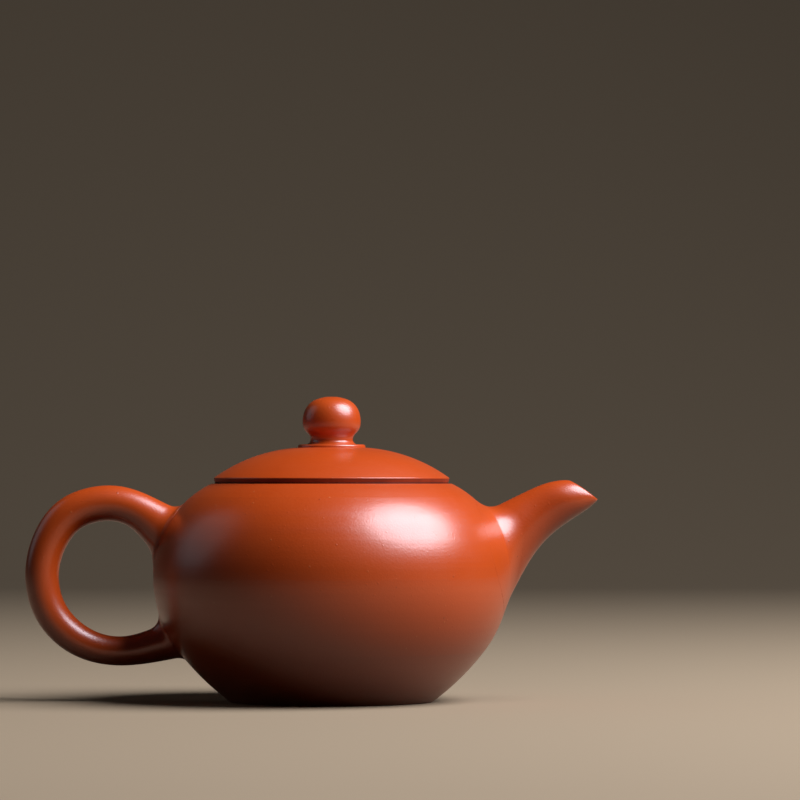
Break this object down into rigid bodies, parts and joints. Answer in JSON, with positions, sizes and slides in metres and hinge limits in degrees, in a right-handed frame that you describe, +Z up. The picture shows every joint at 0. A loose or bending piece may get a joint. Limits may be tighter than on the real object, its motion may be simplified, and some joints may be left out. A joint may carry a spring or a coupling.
{
  "type": "teapot",
  "caption": "Low round unglazed red clay teapot with a short upturned spout, an ear-shaped loop handle opposite it and a domed lift-off lid with a ball knob, for brewing and pouring tea",
  "frame": {"origin": "middle of the base, on the axis of the round body and in the plane the pot stands on", "axes": "+X from the body towards the spout, +Z up along the axis of the body and lid, +Y from the near side to the far side in the picture"},
  "size_m": [0.1286, 0.08, 0.0683],
  "materials": {
    "red_clay": "satin"
  },
  "bodies": {
    "pot": {"base_disc": "red_clay", "body_wall": "red_clay", "shoulder_disc": "red_clay", "mouth_ring": "red_clay", "spout": "red_clay", "strainer": "red_clay", "handle": "red_clay"},
    "lid": {"lid_dome": "red_clay", "lid_rim": "red_clay", "lid_flange": "red_clay", "knob_collar": "red_clay", "knob": "red_clay"}
  },
  "joints": [
    {"name": "lid_lift", "type": "slide", "parent": "pot", "child": "lid", "axis": [0, 0, 1], "range_m": [0, 0.05]}
  ]
}
